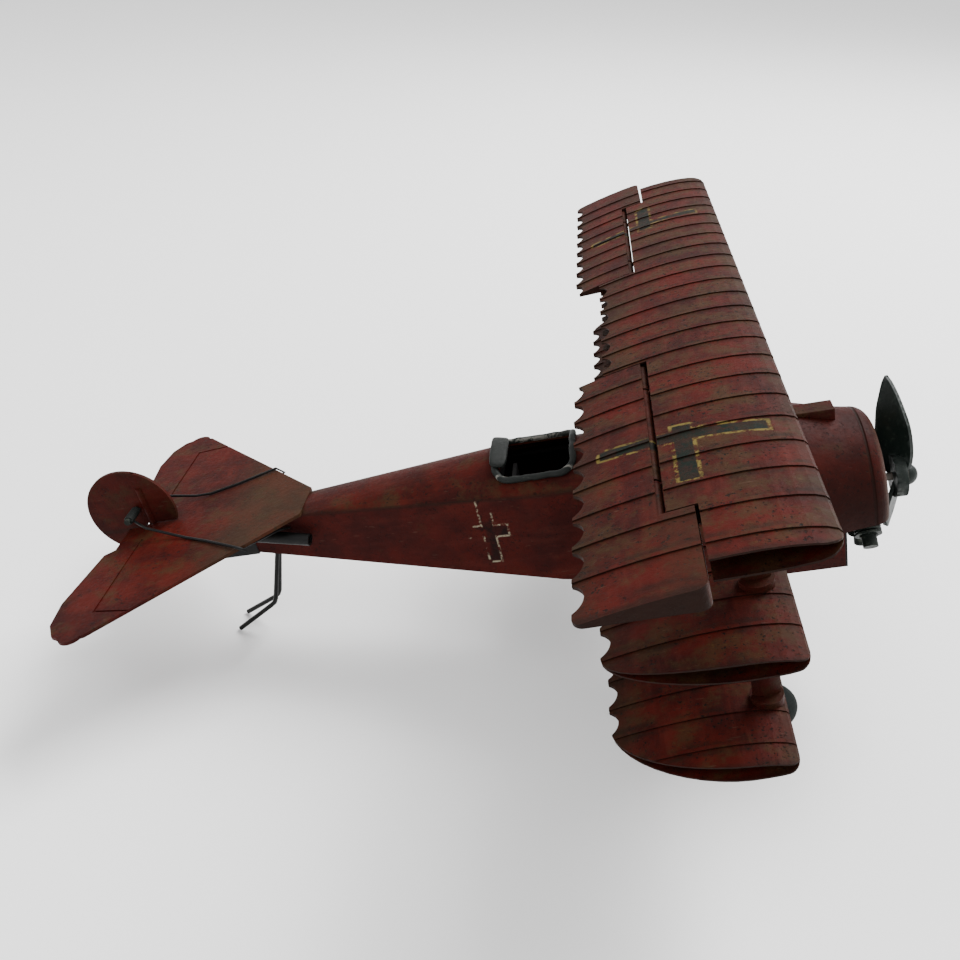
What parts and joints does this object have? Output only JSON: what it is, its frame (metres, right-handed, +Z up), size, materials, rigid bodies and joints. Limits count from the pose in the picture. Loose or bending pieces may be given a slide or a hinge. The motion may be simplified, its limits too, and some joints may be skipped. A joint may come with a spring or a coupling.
{
  "type": "triplane scale model",
  "caption": "Painted sheet-metal display model of an early triplane fighter with working propeller, wheels, ailerons and rudder.",
  "frame": {"origin": "centre of the footprint on the ground plane, the model standing on its two wheels and tail skid", "axes": "+X towards the propeller, +Y to the left wing tips, +Z up from the ground"},
  "size_m": [0.3492, 0.34, 0.1725],
  "materials": {
    "red_paint": "worn satin oxide-red paint",
    "dark_green_paint": "worn satin dark green paint",
    "dark_iron": "dull dark metal",
    "blackened_steel": "blackened wire and tube",
    "bare_steel": "tarnished",
    "tyre_rubber": "matt",
    "dark_leather": "black-green padded edging",
    "black_binding": "waxed black binding"
  },
  "bodies": {
    "airframe": {"fuselage_shell": "red_paint", "firewall": "dark_iron", "front_deck": "red_paint", "cockpit_deck": "red_paint", "rear_deck": "red_paint", "coaming": "dark_leather", "headrest": "dark_leather", "seat": "dark_leather", "cowling": "red_paint", "cowl_strip": "dark_iron", "crankcase": "dark_iron", "cylinders": "dark_iron", "top_wing_skin": "red_paint", "top_wing_underside": "red_paint", "top_wing_ribs": "red_paint", "middle_wing_skin": "red_paint", "middle_wing_underside": "red_paint", "lower_wing_left_skin": "red_paint", "lower_wing_left_underside": "red_paint", "lower_wing_right_skin": "red_paint", "lower_wing_right_underside": "red_paint", "aileron_pin_left": "bare_steel", "aileron_pin_right": "bare_steel", "upper_strut_left": "red_paint", "upper_strut_right": "red_paint", "lower_strut_left": "red_paint", "lower_strut_right": "red_paint", "strut_sockets": "red_paint", "cabane_left": "red_paint", "cabane_right": "red_paint", "leg_left": "red_paint", "leg_right": "red_paint", "axle": "bare_steel", "axle_fairing": "red_paint", "axle_cap_left": "bare_steel", "axle_cap_right": "bare_steel", "tailplane": "red_paint", "tail_post": "red_paint", "rudder_pin": "bare_steel", "control_cable_left": "blackened_steel", "control_cable_right": "blackened_steel", "brace_left": "blackened_steel", "brace_right": "blackened_steel", "tail_skid_left": "blackened_steel", "tail_skid_right": "blackened_steel", "tail_plate": "blackened_steel"},
    "propeller_body": {"propeller_shaft": "bare_steel", "propeller": "dark_green_paint", "propeller_washer": "bare_steel", "propeller_nut": "dark_green_paint"},
    "wheel_left_body": {"wheel_left": "dark_green_paint", "tyre_left": "tyre_rubber"},
    "wheel_right_body": {"wheel_right": "dark_green_paint", "tyre_right": "tyre_rubber"},
    "aileron_left_body": {"aileron_left": "red_paint"},
    "aileron_right_body": {"aileron_right": "red_paint"},
    "rudder_body": {"rudder": "red_paint", "rudder_horn": "dark_iron", "horn_bindings": "black_binding"}
  },
  "joints": [
    {"name": "propeller_turn", "type": "hinge", "parent": "airframe", "child": "propeller_body", "pos_m": [0.16519, 0, 0.09909], "axis": [0.9726, 0, 0.2325], "continuous": true},
    {"name": "wheel_left_turn", "type": "hinge", "parent": "airframe", "child": "wheel_left_body", "pos_m": [0.1189, 0.048, 0.014], "axis": [0, 1, 0], "continuous": true},
    {"name": "wheel_right_turn", "type": "hinge", "parent": "airframe", "child": "wheel_right_body", "pos_m": [0.1189, -0.048, 0.014], "axis": [0, 1, 0], "continuous": true},
    {"name": "aileron_left_swing", "type": "hinge", "parent": "airframe", "child": "aileron_left_body", "pos_m": [0.05537, 0.107, 0.15876], "axis": [0, 1, 0], "range_deg": [-15, 15]},
    {"name": "aileron_right_swing", "type": "hinge", "parent": "airframe", "child": "aileron_right_body", "pos_m": [0.05537, -0.107, 0.15876], "axis": [0, 1, 0], "range_deg": [-15, 15]},
    {"name": "rudder_swing", "type": "hinge", "parent": "airframe", "child": "rudder_body", "pos_m": [-0.14737, 0, 0.06036], "axis": [-0.2325, 0, 0.9726], "range_deg": [-8, 8], "deforming": ["control_cable_left", "control_cable_right"]}
  ]
}
